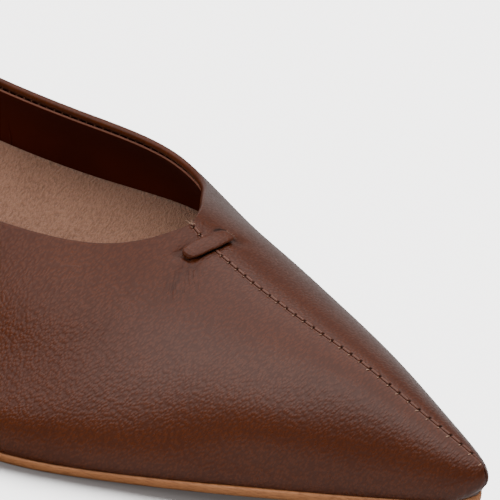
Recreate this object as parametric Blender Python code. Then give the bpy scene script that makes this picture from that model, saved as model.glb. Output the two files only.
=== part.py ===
"""Low-cut ballet flat for the left foot, with a pointed toe and a centre seam under a short keeper bar.

The shoe is built on one parametric last. The last is a row of stations from the toe tip to the heel back.
Each station has a feather point on either side, where upper meets sole, and one crown point above them.
A cubic cross-curve runs from the feather up the wall and over to the crown. The upper is the shell of that
surface below the topline, with a lasting margin turned under its foot. Outsole, insole and heel follow the
same feather line. Toe is +X, up is +Z, the medial side is -Y and the lateral side is +Y.
"""
import bpy
import bmesh
import numpy as np

MM = 0.001

# Leading sizes, in millimetres
LENGTH = 258.0          # feather line, toe tip to heel back
THROAT = 68.3           # toe tip to the front of the opening
OUTSOLE_T = 1.9         # outsole leather
OUTSOLE_LIP = 0.5       # outsole edge inside the bulge of the upper, measured out from the feather
GAP = 0.3               # clearance between neighbouring pieces
WALL = 2.0              # outer leather and lining together
TOE_WALL = 1.1          # wall at the very point, where the sides run together
MARGIN = 9.0            # lasting margin turned in under the foot
MARGIN_T = 1.0          # skived thickness of the lasting margin
INSOLE_T = 1.3          # insole board and its suede cover
TOE_SPRING = 8.8        # rise of the sole at the toe tip
TREAD_FRONT = 80.0      # tread of the forefoot starts here and is flat
TREAD_BACK = 104.0      # and ends here
HEEL_RISE = 6.0         # lift of the sole over the heel
HEEL_BREAST = 206.0     # toe tip to the front face of the heel
HEEL_INSET = 0.8        # heel block inside the outsole edge
BAR_AT = 63.6           # toe tip to the middle of the keeper bar
BAR_LENGTH = 11.3
BAR_WIDTH = 2.8
BAR_THICK = 1.4
BAR_SHIFT = -0.1        # its middle, from the seam towards the outer side
BAR_SKEW = 0.3          # how far its outer end leads towards the toe, and its inner end trails
CENTRE_X = 128.75       # from the toe tip back to the middle of the shoe's box
CENTRE_Y = 0.35         # from the toe tip across to the middle of the shoe's box

# The last. back: feather point behind the toe tip. medial, lateral: half widths at the feather.
# crown_back, crown_y, crown_z: the crown point. bulge: how far the wall swells out over the feather.
# lift: height of the wall's side handle as a share of the crown's. shoulders: fullness under the crown.
LAST_COLUMNS = ("back", "medial", "lateral", "crown_back", "crown_y", "crown_z", "bulge", "lift",
                "medial_shoulder", "lateral_shoulder")
LAST = (
    (0.0, 0.0, 0.0, 0.2, 0.0, 16.7, 2.4, 0.36, 0.50, 0.50),
    (3.0, 3.5, 3.6, 3.0, -0.2, 18.6, 1.6, 0.34, 0.50, 0.50),
    (12.0, 8.1, 8.8, 12.0, -0.8, 22.1, 1.4, 0.32, 0.50, 0.50),
    (25.0, 14.1, 15.4, 25.0, -1.4, 26.4, 1.6, 0.30, 0.49, 0.49),
    (40.0, 21.6, 22.4, 40.0, -1.5, 29.2, 1.8, 0.28, 0.47, 0.47),
    (60.0, 31.8, 30.2, 60.0, -0.7, 33.0, 1.8, 0.25, 0.44, 0.46),
    (80.0, 39.9, 38.3, 80.0, 1.2, 38.8, 1.7, 0.24, 0.41, 0.22),
    (100.0, 39.8, 42.0, 100.0, 2.1, 41.6, 1.5, 0.26, 0.40, 0.42),
    (120.0, 35.2, 37.7, 120.0, 2.4, 45.0, 1.2, 0.28, 0.39, 0.37),
    (140.0, 29.6, 32.8, 140.0, 2.4, 49.0, 1.2, 0.31, 0.42, 0.42),
    (165.0, 25.2, 29.9, 163.0, 2.0, 56.0, 1.8, 0.36, 0.54, 0.54),
    (190.0, 24.4, 28.4, 186.0, 1.2, 65.0, 2.6, 0.41, 0.66, 0.66),
    (215.0, 25.6, 26.9, 206.0, 0.5, 72.0, 3.0, 0.45, 0.72, 0.72),
    (235.0, 24.6, 25.0, 216.0, 0.2, 76.0, 3.2, 0.45, 0.77, 0.77),
    (250.0, 16.6, 16.8, 220.0, 0.0, 78.0, 3.2, 0.45, 0.80, 0.80),
    (258.0, 0.0, 0.0, 222.0, 0.0, 79.0, 3.2, 0.45, 0.80, 0.80),
)

# The topline. behind: station behind the throat. medial, lateral: how far up the cross-curve it lies,
# where 1 is the crown.
TOPLINE_COLUMNS = ("behind", "medial", "lateral")
TOPLINE = (
    (0.0, 1.00, 1.00),
    (1.0, 0.92, 0.92),
    (4.0, 0.825, 0.80),
    (10.0, 0.735, 0.635),
    (20.0, 0.67, 0.462),
    (35.0, 0.61, 0.41),
    (55.0, 0.53, 0.383),
    (85.0, 0.465, 0.30),
    (120.0, 0.465, 0.355),
    (150.0, 0.49, 0.455),
    (189.7, 0.495, 0.495),
)


def column(table, names, name):
    return np.array([row[names.index(name)] for row in table], float)


def spline(knots, values, flat_ends=False):
    """C2 cubic through (knots, values), with natural ends or with ends of no slope."""
    t, v = np.asarray(knots, float), np.asarray(values, float)
    h, n = np.diff(t), len(t)
    matrix, right = np.zeros((n, n)), np.zeros(n)
    matrix[0, 0] = matrix[-1, -1] = 1.0
    if flat_ends:
        matrix[0, :2] = 2 * h[0], h[0]
        matrix[-1, -2:] = h[-1], 2 * h[-1]
        right[0] = 6 * (v[1] - v[0]) / h[0]
        right[-1] = -6 * (v[-1] - v[-2]) / h[-1]
    for i in range(1, n - 1):
        matrix[i, i - 1:i + 2] = h[i - 1], 2 * (h[i - 1] + h[i]), h[i]
        right[i] = 6 * ((v[i + 1] - v[i]) / h[i] - (v[i] - v[i - 1]) / h[i - 1])
    m = np.linalg.solve(matrix, right)

    def at(x):
        x = np.clip(np.asarray(x, float), t[0], t[-1])
        k = np.clip(np.searchsorted(t, x) - 1, 0, n - 2)
        a, b = t[k + 1] - x, x - t[k]
        return ((m[k] * a ** 3 + m[k + 1] * b ** 3) / (6 * h[k])
                + (v[k] / h[k] - m[k] * h[k] / 6) * a + (v[k + 1] / h[k] - m[k + 1] * h[k] / 6) * b)
    return at


def smoothstep(x):
    x = np.clip(x, 0.0, 1.0)
    return x * x * (3 - 2 * x)


# Station parameter: distance along the mean feather line
_back = column(LAST, LAST_COLUMNS, "back")
_mean = (column(LAST, LAST_COLUMNS, "medial") + column(LAST, LAST_COLUMNS, "lateral")) / 2
KNOTS = np.concatenate([[0.0], np.cumsum(np.hypot(np.diff(_back), np.diff(_mean)))])
FIELD = {name: spline(KNOTS, column(LAST, LAST_COLUMNS, name), flat_ends=name in ("back", "crown_back"))
         for name in LAST_COLUMNS}
_fine = np.linspace(0.0, KNOTS[-1], 4000)
_fine_back = np.maximum.accumulate(FIELD["back"](_fine))


def station(back):
    """Station parameter of a feather point that lies a distance behind the toe tip."""
    return np.interp(back, _fine_back, _fine)


TOP_KNOTS = np.sqrt(column(TOPLINE, TOPLINE_COLUMNS, "behind"))
TOP = {-1: spline(TOP_KNOTS, column(TOPLINE, TOPLINE_COLUMNS, "medial")),
       1: spline(TOP_KNOTS, column(TOPLINE, TOPLINE_COLUMNS, "lateral"))}


def topline(u, side):
    """Share of the cross-curve below the topline at station u."""
    behind = np.maximum(FIELD["back"](u) - THROAT, 0.0)
    return np.minimum(TOP[side](np.sqrt(behind)), 1.0)


def sole_rise(back):
    """Height of the tread above the floor: toe spring, a flat tread, then the rise to a level heel seat."""
    spring = TOE_SPRING * np.maximum(0.0, 1 - back / TREAD_FRONT) ** 2
    return spring + HEEL_RISE * smoothstep((back - TREAD_BACK) / (HEEL_BREAST - 2 - TREAD_BACK))


def feather_z(back):
    return sole_rise(back) + OUTSOLE_T + GAP


def feather(u, side):
    """Plan position of the feather line, X forward from the toe tip, and its outward normal."""
    def plan(t):
        name = "lateral" if side > 0 else "medial"
        return np.stack([-FIELD["back"](t), side * FIELD[name](t)], -1)
    step = 0.05
    low, high = np.clip(u - step, 0, KNOTS[-1]), np.clip(u + step, 0, KNOTS[-1])
    along = plan(high) - plan(low)
    along /= np.linalg.norm(along, axis=-1, keepdims=True)
    normal = np.stack([along[..., 1], -along[..., 0]], -1) * side
    ends = (u <= step) | (u >= KNOTS[-1] - step)
    straight = np.stack([np.where(u <= step, 1.0, -1.0), np.zeros_like(u)], -1)
    return plan(u), np.where(ends[..., None], straight, normal)


def surface(u, v, side):
    """Outside of the upper: cubic cross-curve from the feather (v = 0) to the crown (v = 1)."""
    u, v = np.broadcast_arrays(np.asarray(u, float), np.asarray(v, float))
    foot, out = feather(u, side)
    low = feather_z(FIELD["back"](u))
    crown = np.stack([-FIELD["crown_back"](u), FIELD["crown_y"](u)], -1)
    high = FIELD["crown_z"](u)
    side_handle = foot + out * FIELD["bulge"](u)[..., None]
    shoulder = FIELD["lateral_shoulder" if side > 0 else "medial_shoulder"](u)
    top_handle = crown + (foot - crown) * shoulder[..., None]
    w = (1 - v) ** 3, 3 * v * (1 - v) ** 2, 3 * v * v * (1 - v), v ** 3
    plan = (foot * w[0][..., None] + side_handle * w[1][..., None]
            + top_handle * w[2][..., None] + crown * w[3][..., None])
    z = low * w[0] + (low + (high - low) * FIELD["lift"](u)) * w[1] + high * (w[2] + w[3])
    return np.concatenate([plan, z[..., None]], -1)


def place(points):
    """Millimetres from the toe tip to metres in the part's frame."""
    return (np.asarray(points, float) + (CENTRE_X, -CENTRE_Y, 0.0)) * MM


# ---- objects

def remove_everything():
    for item in list(bpy.data.objects):
        bpy.data.objects.remove(item, do_unlink=True)


def material(name, colour, roughness):
    made = bpy.data.materials.new(name)
    made.use_nodes = True
    shader = made.node_tree.nodes["Principled BSDF"]
    shader.inputs["Base Color"].default_value = (*colour, 1.0)
    shader.inputs["Roughness"].default_value = roughness
    shader.inputs["Metallic"].default_value = 0.0
    made.diffuse_color = (*colour, 1.0)
    return made


def make_object(name, points, faces, surface_material):
    """One closed, triangulated mesh object from millimetre points and faces that wind outwards."""
    mesh = bpy.data.meshes.new(name)
    mesh.from_pydata(place(points).tolist(), [], faces)
    work = bmesh.new()
    work.from_mesh(mesh)
    bmesh.ops.triangulate(work, faces=work.faces[:])
    bmesh.ops.recalc_face_normals(work, faces=work.faces[:])
    if work.calc_volume(signed=True) < 0:
        bmesh.ops.reverse_faces(work, faces=work.faces[:])
    work.to_mesh(mesh)
    work.free()
    mesh.shade_smooth()
    mesh.set_sharp_from_angle(angle=np.radians(35))
    mesh.materials.append(surface_material)
    made = bpy.data.objects.new(name, mesh)
    bpy.context.scene.collection.objects.link(made)
    return made


def station_list():
    """Stations from toe tip to heel back: close at the point, the throat and round the heel."""
    toe = np.linspace(0, 1, 9) ** 2 * 14
    vamp = np.linspace(14, THROAT, 10)[1:]
    throat = THROAT + np.array([0.3, 1.2, 2.7, 4.8, 7.8, 12.0, 17.5])
    side = np.linspace(THROAT + 17.5, 222, 15)[1:]
    low, high = station(222.0), KNOTS[-1]
    heel = low + (high - low) * np.linspace(0, 1, 10)[1:]
    return np.concatenate([station(toe), station(vamp), station(throat), station(side), heel])


def ring(count):
    """Columns round the shoe: lateral from toe to heel, then medial back, ends shared."""
    return [(i, 1) for i in range(count)] + [(i, -1) for i in range(count - 2, 0, -1)]


def surface_normal(u, v, side):
    """Unit normal pointing out of the shoe, averaged over both sides where they share the crown."""
    du, dv = 0.2, 0.01
    a = surface(np.clip(u + du, 0, KNOTS[-1]), v, side) - surface(np.clip(u - du, 0, KNOTS[-1]), v, side)
    b = surface(u, np.clip(v + dv, 0, 1), side) - surface(u, np.clip(v - dv, 0, 1), side)
    n = np.cross(a, b) * side
    tip = (u <= du) | (u >= KNOTS[-1] - du)
    n[..., 1] = np.where(tip, 0.0, n[..., 1])
    n /= np.linalg.norm(n, axis=-1, keepdims=True)
    return n


def build_upper(leather):
    """Hollow shell: outside, rim, inside and lasting margin, closed over the vamp and open elsewhere."""
    u = station_list()
    count, rows, inner_rows = len(u), 15, 11
    back = FIELD["back"](u)
    throat = int(np.argmin(abs(back - THROAT)))
    wall = TOE_WALL + (WALL - TOE_WALL) * smoothstep(back / 20.0)
    columns = ring(count)
    points, index = [], {}

    def vertex(key, point):
        if key not in index:
            index[key] = len(points)
            points.append(tuple(point))
        return index[key]

    grids = {}
    for side in (1, -1):
        top = topline(u, side)
        top[:throat + 1] = 1.0
        share = np.linspace(0, 1, rows + 1)
        outer = surface(u[:, None], top[:, None] * share[None, :], side)
        inner_share = np.concatenate([[0.0], 0.13 + 0.87 * np.linspace(0, 1, inner_rows)])
        v = top[:, None] * inner_share[None, :]
        base = surface(u[:, None], v, side)
        normal = surface_normal(u[:, None] + 0 * v, v, side)
        if side == 1:
            lateral_crown = normal[:, -1].copy()
        for i in range(throat + 1):
            mirror = lateral_crown[i] * (1, -1, 1) if side == 1 else lateral_crown[i]
            normal[i, -1] = (normal[i, -1] + mirror) / np.linalg.norm(normal[i, -1] + mirror)
            if side == 1:
                lateral_crown[i] = normal[i, -1]
        inner = base - normal * wall[:, None, None]
        foot, out = feather(u, side)
        inner[:, 0, :2] = foot - out * wall[:, None]
        floor = feather_z(back) + MARGIN_T
        inner[:, 0, 2] = floor
        inner[:, 1:, 2] = np.maximum(inner[:, 1:, 2], floor[:, None] + 0.25 * np.arange(1, inner_rows + 1))
        spine = spine_point(back)
        reach = spine - foot
        span = np.linalg.norm(reach, axis=-1, keepdims=True)
        edge = foot + reach * np.minimum(MARGIN / span, 0.62)
        edge_back = -edge[:, 0]
        grids[side] = outer, inner, edge, feather_z(edge_back), feather_z(edge_back) + MARGIN_T
    strips = []
    for i, side in columns:
        outer, inner, edge, low, high = grids[side]
        mark = 0 if i in (0, count - 1) else side
        strip = []
        for j in range(rows + 1):
            shared = 0 if (j == rows and i <= throat) else mark
            strip.append(vertex(("outer", i, j, shared), outer[i, j]))
        below = []
        for j in range(inner_rows + 1):
            shared = 0 if (j == inner_rows and i <= throat) else mark
            below.append(vertex(("inner", i, j, shared), inner[i, j]))
        rim = vertex(("margin low", i, mark), (*edge[i], low[i])), vertex(("margin high", i, mark), (*edge[i], high[i]))
        strips.append((strip, below, rim))
    faces = []
    for k, (i, side) in enumerate(columns):
        here, there = strips[k], strips[(k + 1) % len(columns)]
        for a, b in ((here[0], there[0]), (here[1][::-1], there[1][::-1])):
            faces += [(a[j], b[j], b[j + 1], a[j + 1]) for j in range(len(a) - 1)]
        low_here, high_here = here[2]
        low_there, high_there = there[2]
        faces.append((low_here, low_there, there[0][0], here[0][0]))
        faces.append((here[1][0], there[1][0], high_there, high_here))
        faces.append((high_here, high_there, low_there, low_here))
        if max(i, columns[(k + 1) % len(columns)][0]) > throat:
            faces.append((here[0][-1], there[0][-1], there[1][-1], here[1][-1]))
    clean = []
    for face in faces:
        unique = [p for n, p in enumerate(face) if p != face[n - 1]]
        if len(set(unique)) >= 3:
            clean.append(tuple(dict.fromkeys(unique)))
    return make_object("upper", points, clean, leather)


def spine_point(back):
    """Middle line that the plates' sections run in to, kept away from toe tip and heel back."""
    inside = 24.0 + back * (LENGTH - 48.0) / LENGTH
    u = station(inside)
    middle = (FIELD["lateral"](u) - FIELD["medial"](u)) / 2
    return np.stack([-inside, middle], -1)


def build_plate(name, inset, bottom, top, edge_round, surface_material):
    """Thin plate following the feather line: bottom and top are heights as functions of distance back."""
    u = station_list()
    count, across = len(u), 5
    back = FIELD["back"](u)
    columns = ring(count)
    spine = spine_point(back)
    points, strips = [], []
    lower_spine, upper_spine = {}, {}
    shared = {}
    for i, side in columns:
        key = (i, 0 if i in (0, count - 1) else side)
        foot, out = feather(u[i], side)
        edge = foot - out * inset
        if inset > 0:
            inward = (spine[i] - foot) / np.linalg.norm(spine[i] - foot)
            edge = foot + inward * inset / max(-inward @ out, 0.4)
        ids = []
        for kind in ("low", "high"):
            height = bottom if kind == "low" else top
            for n in range(across + 1):
                share = n / across
                flat = spine[i] + (edge + out * -edge_round - spine[i]) * share
                if n == 0:
                    holder = lower_spine if kind == "low" else upper_spine
                    if i not in holder:
                        holder[i] = len(points)
                        points.append((*flat, float(height(-flat[0]))))
                    ids.append((kind, n, holder[i]))
                    continue
                tag = (kind, n) + key
                if tag not in shared:
                    shared[tag] = len(points)
                    points.append((*flat, float(height(-flat[0]))))
                ids.append((kind, n, shared[tag]))
        for level in (1, 2):
            tag = ("edge", level) + key
            if tag not in shared:
                share = level / 3
                z = float(bottom(-edge[0])) * (1 - share) + float(top(-edge[0])) * share
                shared[tag] = len(points)
                points.append((*edge, z))
            ids.append(("edge", level, shared[tag]))
        look = {(kind, n): value for kind, n, value in ids}
        strip = ([look["low", n] for n in range(across + 1)] + [look["edge", 1], look["edge", 2]]
                 + [look["high", n] for n in range(across, -1, -1)])
        strips.append(strip)
    faces = []
    for k in range(len(columns)):
        a, b = strips[k], strips[(k + 1) % len(columns)]
        for j in range(len(a) - 1):
            face = list(dict.fromkeys((a[j], b[j], b[j + 1], a[j + 1])))
            if len(face) >= 3:
                faces.append(tuple(face))
    return make_object(name, points, faces, surface_material)


def build_heel(surface_material):
    """Low stacked heel: the feather outline behind the breast, closed by a slightly hollow breast."""
    low, high = station(HEEL_BREAST), KNOTS[-1]
    u = low + (high - low) * np.linspace(0, 1, 22)
    lateral, out_l = feather(u, 1)
    medial, out_m = feather(u, -1)
    lateral, medial = lateral - out_l * HEEL_INSET, medial - out_m * HEEL_INSET
    outline = np.concatenate([lateral, medial[-2::-1]])
    first, last = outline[0], outline[-1]
    share = np.linspace(0, 1, 12)[1:-1, None]
    hollow = np.stack([-2.2 * np.sin(np.pi * share[:, 0]), 0 * share[:, 0]], -1)
    breast = last + (first - last) * share + hollow
    outline = np.concatenate([outline, breast])
    n = len(outline)
    points = [(*p, 0.0) for p in outline * 1.0] + [(*p, HEEL_RISE - GAP) for p in outline]
    faces = [tuple(range(n))[::-1], tuple(range(n, 2 * n))]
    faces += [(k, (k + 1) % n, n + (k + 1) % n, n + k) for k in range(n)]
    return make_object("heel", points, faces, surface_material)


def build_bar(leather):
    """Short padded strip bent over the centre seam, square to it, clear of the upper by the gap."""
    u = station(BAR_AT)
    v = np.linspace(0.70, 1.0, 200)
    over = np.concatenate([surface(u, v, -1), surface(u, v[::-1], 1)[1:]])
    run = np.concatenate([[0.0], np.cumsum(np.linalg.norm(np.diff(over, axis=0), axis=1))])
    middle = run[len(v) - 1]
    sections, around = 13, 12
    ts = np.linspace(-1, 1, sections)
    where = middle + BAR_SHIFT + ts * BAR_LENGTH / 2
    centre = np.stack([np.interp(where, run, over[:, k]) for k in range(3)], -1)
    step = np.stack([np.interp(where + 0.3, run, over[:, k]) - np.interp(where - 0.3, run, over[:, k])
                     for k in range(3)], -1)
    step /= np.linalg.norm(step, axis=-1, keepdims=True)
    crown_line = surface(station(BAR_AT + np.array([-2.0, 2.0])), 1.0, 1)
    seam = crown_line[0] - crown_line[1]
    seam /= np.linalg.norm(seam)
    points = []
    for k in range(sections):
        up = np.cross(seam, step[k])
        up *= np.sign(up[2]) / np.linalg.norm(up)
        fore = np.cross(step[k], up)
        fullness = (1 - 0.5 * abs(ts[k]) ** 6)
        base = centre[k] + seam * (0.1 + BAR_SKEW * ts[k])
        for n in range(around):
            angle = 2 * np.pi * (n + 0.5) / around
            c, s = np.cos(angle), np.sin(angle)
            wide = np.sign(c) * abs(c) ** 0.7 * BAR_WIDTH / 2 * fullness
            high = (1 + np.sign(s) * abs(s) ** 0.7) * BAR_THICK / 2 * fullness
            points.append(base + fore * wide + up * (GAP + 0.1 + high))
    faces = [tuple(range(around))[::-1], tuple(range((sections - 1) * around, sections * around))]
    for k in range(sections - 1):
        for n in range(around):
            a, b = k * around + n, k * around + (n + 1) % around
            faces.append((a, b, b + around, a + around))
    return make_object("keeper_bar", points, faces, leather)


def main():
    remove_everything()
    leather = material("brown leather", (0.118, 0.047, 0.028), 0.42)
    tan = material("tan sole leather", (0.30, 0.12, 0.05), 0.55)
    suede = material("beige suede", (0.22, 0.12, 0.075), 0.9)
    stack = material("dark heel", (0.10, 0.05, 0.03), 0.6)
    build_upper(leather)
    build_plate("outsole", -OUTSOLE_LIP, sole_rise, lambda b: sole_rise(b) + OUTSOLE_T, 0.5, tan)
    insole_z = lambda b: feather_z(b) + MARGIN_T + GAP
    build_plate("insole", WALL + GAP + 0.4, insole_z, lambda b: insole_z(b) + INSOLE_T, 0.3, suede)
    build_heel(stack)
    build_bar(leather)


main()
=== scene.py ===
"""Left ballet flat in brown nappa: the fine surface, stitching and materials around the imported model."""
import bmesh
import bpy
import numpy as np
from mathutils import Matrix, Vector


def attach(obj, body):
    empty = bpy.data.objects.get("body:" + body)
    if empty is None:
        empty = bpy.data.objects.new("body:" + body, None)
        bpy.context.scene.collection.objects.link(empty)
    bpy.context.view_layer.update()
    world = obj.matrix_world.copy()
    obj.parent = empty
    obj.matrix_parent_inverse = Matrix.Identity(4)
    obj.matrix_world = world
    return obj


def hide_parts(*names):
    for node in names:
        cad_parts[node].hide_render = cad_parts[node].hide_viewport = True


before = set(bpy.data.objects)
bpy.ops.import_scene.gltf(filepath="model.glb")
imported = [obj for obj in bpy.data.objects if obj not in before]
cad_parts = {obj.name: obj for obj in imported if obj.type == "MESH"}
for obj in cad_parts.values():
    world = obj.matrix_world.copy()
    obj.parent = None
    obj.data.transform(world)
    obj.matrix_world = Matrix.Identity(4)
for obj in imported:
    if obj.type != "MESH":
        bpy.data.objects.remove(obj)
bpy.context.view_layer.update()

MM = 0.001

# Leading sizes, in millimetres, as in the solids
LENGTH, THROAT = 258.0, 68.3
OUTSOLE_T, GAP, WALL = 1.9, 0.3, 2.0
MARGIN_T, INSOLE_T = 1.0, 1.3
TOE_SPRING, TREAD_FRONT, TREAD_BACK = 8.8, 80.0, 104.0
HEEL_RISE, HEEL_BREAST = 6.0, 206.0
BAR_AT, BAR_LENGTH, BAR_WIDTH, BAR_THICK = 63.6, 11.3, 2.8, 1.4
BAR_SHIFT, BAR_SKEW = -0.1, 0.3
CENTRE_X, CENTRE_Y = 128.75, 0.35

# Looks only, in millimetres
LEATHER_T = 0.7                          # one layer of outer leather, so a folded edge is twice this
SEAM_ROLL, SEAM_OPEN = 0.11, 0.03        # folded edges along the centre seam: radius, half the line between them
STITCH_TOE, STITCH_THROAT = 2.45, 1.9    # pitch of the seam's stitches at its two ends
FIRST_STITCH = 1.0                       # behind the toe tip
RIDGE, NOTCH = 0.20, 0.36                # height of the seam's raised fold, depth of its notch at each stitch
FRONT_GROOVE, TOE_DRAW = 0.9, 0.9        # groove down the toe's front, and how far its foot is drawn in
TRENCH, SADDLE, SLIT = 0.62, 0.46, 0.50  # depths of the leather's hollows under the bar and at its two ends
DENT_REACH, SHADE_REACH = 22.0, 16.0     # how far from the bar's middle its hollows and their shade may lie
WALL_SWELL, FOOT_FLARE = 0.8, 0.30       # swell of the inner wall, and flare of the wall at the sole
LINING_DROP, LINING_IN = 1.8, 2.0        # lining: its raw edge below the topline, its face inside the outer one
SOLE_LIP, TIP_BACK = 0.5, 1.3            # how far the sole stands out round the upper, and is set back at the tip
SOCK_RISE = 0.8                          # swell of the suede sock under the toes
FIBRE, TICK = 0.032, 0.08                # radii of a loose fibre and of a thread tick

# ---- the last

LAST_COLUMNS = ("back", "medial", "lateral", "crown_back", "crown_y", "crown_z", "bulge", "lift",
                "medial_shoulder", "lateral_shoulder")
LAST = (
    (0.0, 0.0, 0.0, 0.2, 0.0, 16.7, 2.4, 0.36, 0.50, 0.50),
    (3.0, 3.5, 3.6, 3.0, -0.4, 18.6, 1.6, 0.34, 0.50, 0.50),
    (12.0, 8.1, 8.8, 12.0, -1.4, 22.1, 1.4, 0.32, 0.50, 0.52),
    (25.0, 14.1, 15.4, 25.0, -2.0, 26.4, 1.6, 0.30, 0.49, 0.51),
    (40.0, 21.6, 22.4, 40.0, -2.0, 29.2, 1.8, 0.28, 0.47, 0.50),
    (60.0, 31.8, 30.2, 60.0, -0.85, 33.0, 1.8, 0.25, 0.44, 0.46),
    (80.0, 39.9, 38.3, 80.0, 1.2, 38.8, 1.7, 0.24, 0.41, 0.22),
    (100.0, 39.8, 42.0, 100.0, 2.1, 41.6, 1.5, 0.26, 0.40, 0.42),
    (120.0, 35.2, 37.7, 120.0, 2.4, 45.0, 1.2, 0.28, 0.39, 0.37),
    (140.0, 29.6, 32.8, 140.0, 2.4, 49.0, 1.2, 0.31, 0.42, 0.42),
    (165.0, 25.2, 29.9, 163.0, 2.0, 56.0, 1.8, 0.36, 0.54, 0.54),
    (190.0, 24.4, 28.4, 186.0, 1.2, 65.0, 2.6, 0.41, 0.66, 0.66),
    (215.0, 25.6, 26.9, 206.0, 0.5, 72.0, 3.0, 0.45, 0.72, 0.72),
    (235.0, 24.6, 25.0, 216.0, 0.2, 76.0, 3.2, 0.45, 0.77, 0.77),
    (250.0, 16.6, 16.8, 220.0, 0.0, 78.0, 3.2, 0.45, 0.80, 0.80),
    (258.0, 0.0, 0.0, 222.0, 0.0, 79.0, 3.2, 0.45, 0.80, 0.80),
)
TOPLINE_COLUMNS = ("behind", "medial", "lateral")
TOPLINE = (
    (0.0, 1.00, 1.00),
    (1.0, 0.92, 0.92),
    (4.0, 0.825, 0.80),
    (10.0, 0.735, 0.645),
    (20.0, 0.67, 0.475),
    (35.0, 0.61, 0.424),
    (55.0, 0.53, 0.398),
    (85.0, 0.465, 0.315),
    (120.0, 0.465, 0.36),
    (150.0, 0.49, 0.455),
    (189.7, 0.495, 0.495),
)


def columns(table, names):
    """A table's columns by name, as arrays."""
    return dict(zip(names, np.array(table, float).T))


def spline(knots, values, flat_ends=False):
    """C2 cubic through (knots, values), with natural ends or with ends of no slope."""
    t, v = np.asarray(knots, float), np.asarray(values, float)
    h, n = np.diff(t), len(t)
    matrix, right = np.zeros((n, n)), np.zeros(n)
    matrix[0, 0] = matrix[-1, -1] = 1.0
    if flat_ends:
        matrix[0, :2] = 2 * h[0], h[0]
        matrix[-1, -2:] = h[-1], 2 * h[-1]
        right[0] = 6 * (v[1] - v[0]) / h[0]
        right[-1] = -6 * (v[-1] - v[-2]) / h[-1]
    for i in range(1, n - 1):
        matrix[i, i - 1:i + 2] = h[i - 1], 2 * (h[i - 1] + h[i]), h[i]
        right[i] = 6 * ((v[i + 1] - v[i]) / h[i] - (v[i] - v[i - 1]) / h[i - 1])
    m = np.linalg.solve(matrix, right)

    def at(x):
        x = np.clip(np.asarray(x, float), t[0], t[-1])
        k = np.clip(np.searchsorted(t, x) - 1, 0, n - 2)
        a, b = t[k + 1] - x, x - t[k]
        return ((m[k] * a ** 3 + m[k + 1] * b ** 3) / (6 * h[k])
                + (v[k] / h[k] - m[k] * h[k] / 6) * a + (v[k + 1] / h[k] - m[k + 1] * h[k] / 6) * b)
    return at


def smoothstep(x):
    """3x² - 2x³: 0 up to x = 0, 1 from x = 1, and no slope at either."""
    x = np.clip(x, 0.0, 1.0)
    return x * x * (3 - 2 * x)


# Station parameter: distance along the mean feather line
_last = columns(LAST, LAST_COLUMNS)
_mean = (_last["medial"] + _last["lateral"]) / 2
KNOTS = np.concatenate([[0.0], np.cumsum(np.hypot(np.diff(_last["back"]), np.diff(_mean)))])
FIELD = {name: spline(KNOTS, values, flat_ends=name in ("back", "crown_back"))
         for name, values in _last.items()}
_fine = np.linspace(0.0, KNOTS[-1], 4000)
_fine_back = np.maximum.accumulate(FIELD["back"](_fine))


def station(back):
    """Station parameter of a feather point that lies a distance behind the toe tip."""
    return np.interp(back, _fine_back, _fine)


_top = columns(TOPLINE, TOPLINE_COLUMNS)
TOP = {side: spline(np.sqrt(_top["behind"]), _top[name]) for side, name in ((-1, "medial"), (1, "lateral"))}


def topline(u, side):
    """Share of the cross-curve below the topline at station u."""
    behind = np.maximum(FIELD["back"](u) - THROAT, 0.0)
    return np.minimum(TOP[side](np.sqrt(behind)), 1.0)


def sole_rise(back):
    """Height of the tread above the floor: toe spring, a flat tread, then the rise to a level heel seat."""
    spring = TOE_SPRING * np.maximum(0.0, 1 - back / TREAD_FRONT) ** 2
    return spring + HEEL_RISE * smoothstep((back - TREAD_BACK) / (HEEL_BREAST - 2 - TREAD_BACK))


def feather_z(back):
    """Height of the feather line: the tread's, the sole's thickness and the gap."""
    return sole_rise(back) + OUTSOLE_T + GAP


def feather(u, side):
    """Plan position of the feather line, X forward from the toe tip, and its outward normal."""
    def plan(t):
        name = "lateral" if side > 0 else "medial"
        return np.stack([-FIELD["back"](t), side * FIELD[name](t)], -1)
    step = 0.05
    low, high = np.clip(u - step, 0, KNOTS[-1]), np.clip(u + step, 0, KNOTS[-1])
    along = plan(high) - plan(low)
    along /= np.linalg.norm(along, axis=-1, keepdims=True)
    normal = np.stack([along[..., 1], -along[..., 0]], -1) * side
    ends = (u <= step) | (u >= KNOTS[-1] - step)
    straight = np.stack([np.where(u <= step, 1.0, -1.0), np.zeros_like(u)], -1)
    return plan(u), np.where(ends[..., None], straight, normal)


def surface(u, v, side):
    """Outside of the upper: cubic cross-curve from the feather (v = 0) to the crown (v = 1)."""
    u, v = np.broadcast_arrays(np.asarray(u, float), np.asarray(v, float))
    foot, out = feather(u, side)
    low = feather_z(FIELD["back"](u))
    crown = np.stack([-FIELD["crown_back"](u), FIELD["crown_y"](u)], -1)
    high = FIELD["crown_z"](u)
    side_handle = foot + out * FIELD["bulge"](u)[..., None]
    shoulder = FIELD["lateral_shoulder" if side > 0 else "medial_shoulder"](u)
    top_handle = crown + (foot - crown) * shoulder[..., None]
    w = (1 - v) ** 3, 3 * v * (1 - v) ** 2, 3 * v * v * (1 - v), v ** 3
    plan = (foot * w[0][..., None] + side_handle * w[1][..., None]
            + top_handle * w[2][..., None] + crown * w[3][..., None])
    z = low * w[0] + (low + (high - low) * FIELD["lift"](u)) * w[1] + high * (w[2] + w[3])
    return np.concatenate([plan, z[..., None]], -1)


THROAT_U = float(station(THROAT))


def place(points):
    """Millimetres from the toe tip to metres in the part's frame."""
    return (np.asarray(points, float) + (CENTRE_X, -CENTRE_Y, 0.0)) * MM


# ---- mesh helpers

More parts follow.
